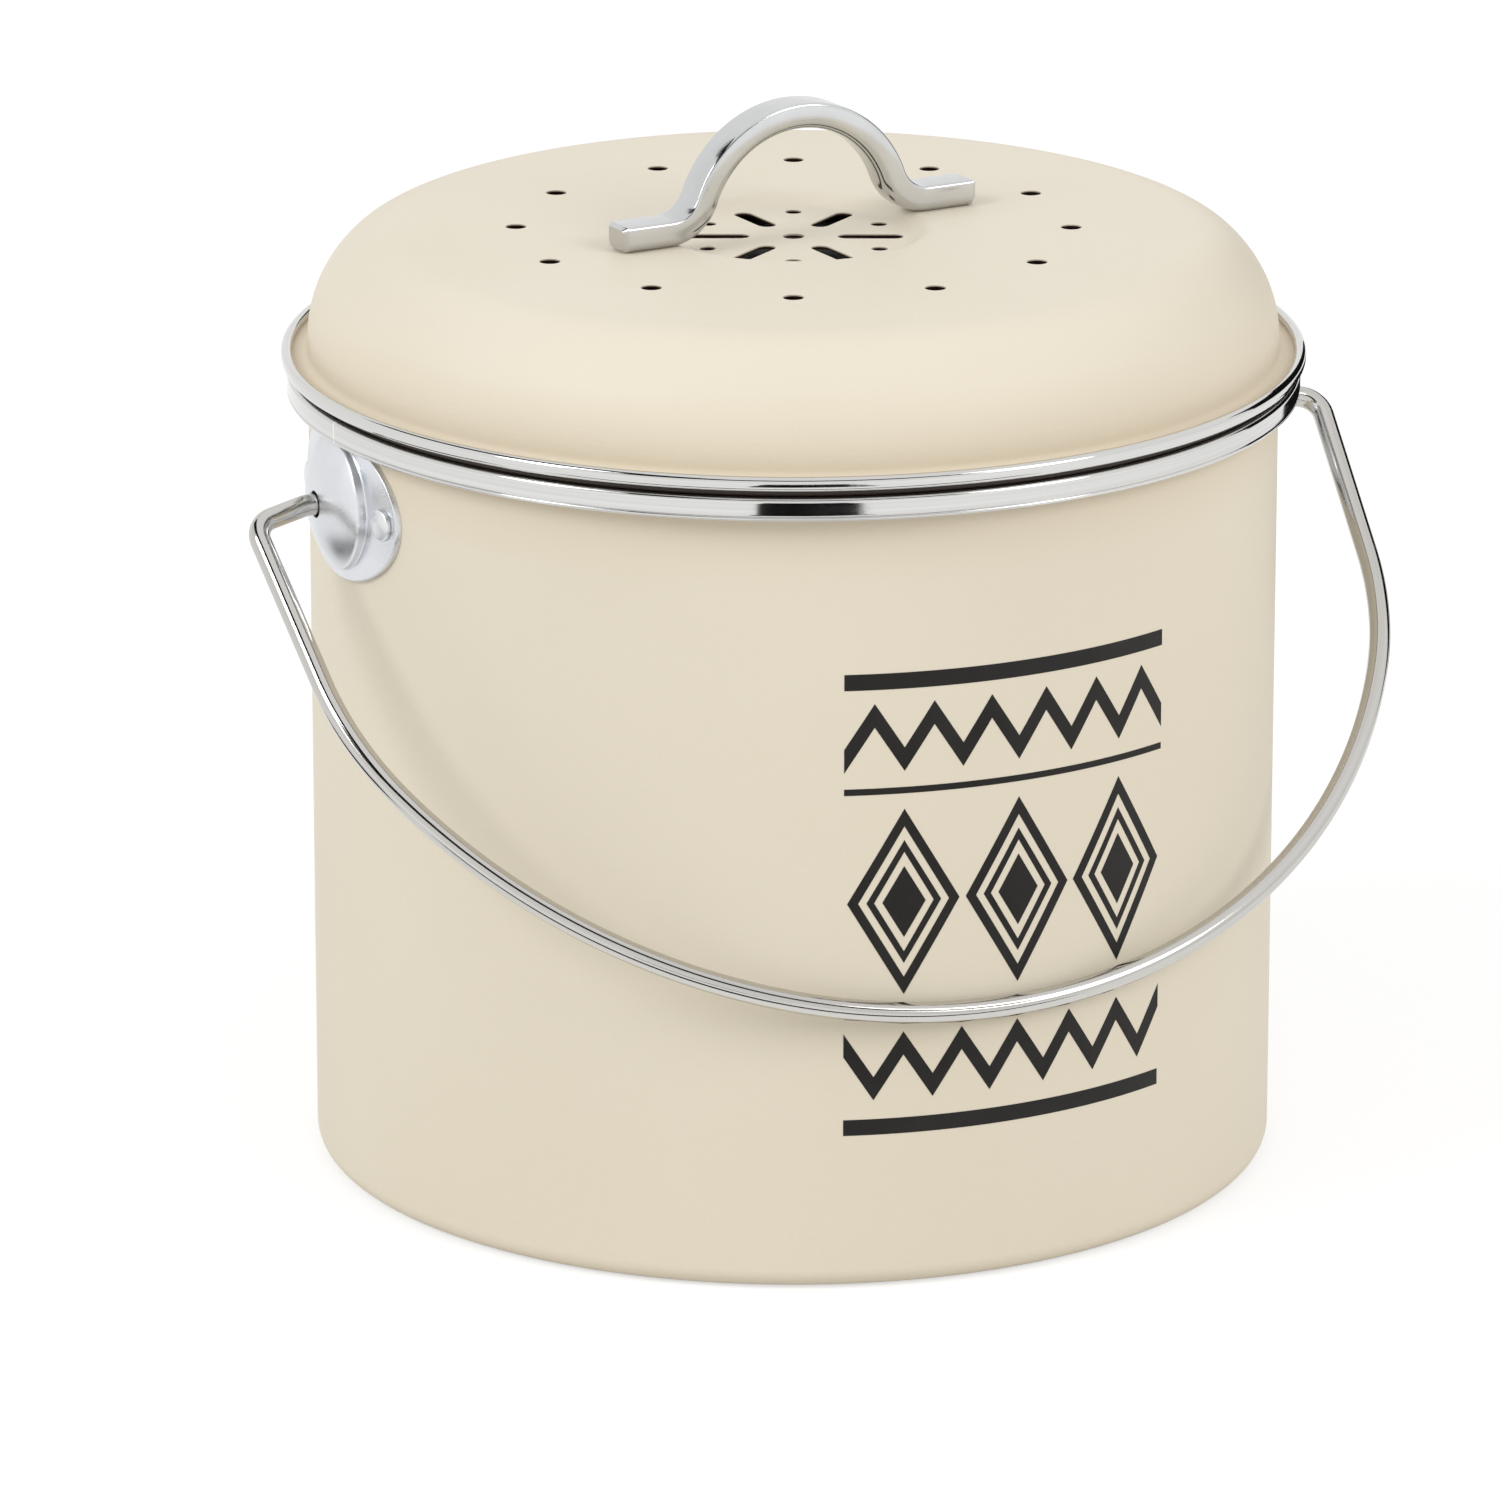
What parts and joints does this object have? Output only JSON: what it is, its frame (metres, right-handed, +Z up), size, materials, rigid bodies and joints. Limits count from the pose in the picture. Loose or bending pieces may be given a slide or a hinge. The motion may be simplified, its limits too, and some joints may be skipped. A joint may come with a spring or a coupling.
{
  "type": "kitchen compost bin",
  "caption": "Round sheet-metal kitchen compost pail with a wire bail, lift-out plastic liner and a domed vented lid that holds a carbon filter.",
  "frame": {"origin": "centre of the pail's foot on the worktop", "axes": "+Z up; +X along the bail's axis from ear to ear; the printed front faces -Y"},
  "size_m": [0.22, 0.19, 0.2],
  "materials": {
    "cream_coat": "fine-textured satin powder coat",
    "polished_steel": "polished stainless strip",
    "satin_aluminium": "bright satin pressing",
    "rivet_aluminium": "satin",
    "bright_wire": "bright drawn wire",
    "plated_bar": "plated, slightly soft",
    "sheet_steel": "plain rolled sheet",
    "zinc_fastener": "zinc plated",
    "dark_plastic": "fine moulded texture",
    "carbon_felt": "carbon-loaded needle felt"
  },
  "bodies": {
    "pail": {"pail_wall": "cream_coat", "pail_base": "cream_coat", "rim_hoop": "polished_steel", "ear_left": "satin_aluminium", "ear_right": "satin_aluminium", "ear_rivets_left": "rivet_aluminium", "ear_rivets_right": "rivet_aluminium"},
    "bail": {"bail_handle": "bright_wire"},
    "liner": {"inner_bucket": "dark_plastic"},
    "lid": {"lid_shell": "cream_coat", "lid_rim_ring": "polished_steel", "lid_locating_ring": "sheet_steel", "lid_handle": "plated_bar", "lid_handle_screws": "zinc_fastener", "lid_handle_washers": "zinc_fastener", "filter_tabs": "sheet_steel"},
    "filter": {"filter_holder": "dark_plastic", "carbon_filter": "carbon_felt"}
  },
  "joints": [
    {"name": "bail_swing", "type": "hinge", "parent": "pail", "child": "bail", "pos_m": [0, 0, 0.1336], "axis": [-1, 0, 0], "range_deg": [0, 262.6]},
    {"name": "liner_lift", "type": "slide", "parent": "pail", "child": "liner", "axis": [0, 0, 1], "range_m": [0, 0.16]},
    {"name": "lid_lift", "type": "slide", "parent": "liner", "child": "lid", "axis": [0, 0, 1], "range_m": [0, 0.08]},
    {"name": "filter_turn", "type": "hinge", "parent": "lid", "child": "filter", "pos_m": [0, 0, 0.165], "axis": [0, 0, 1], "range_deg": [0, 20]}
  ]
}
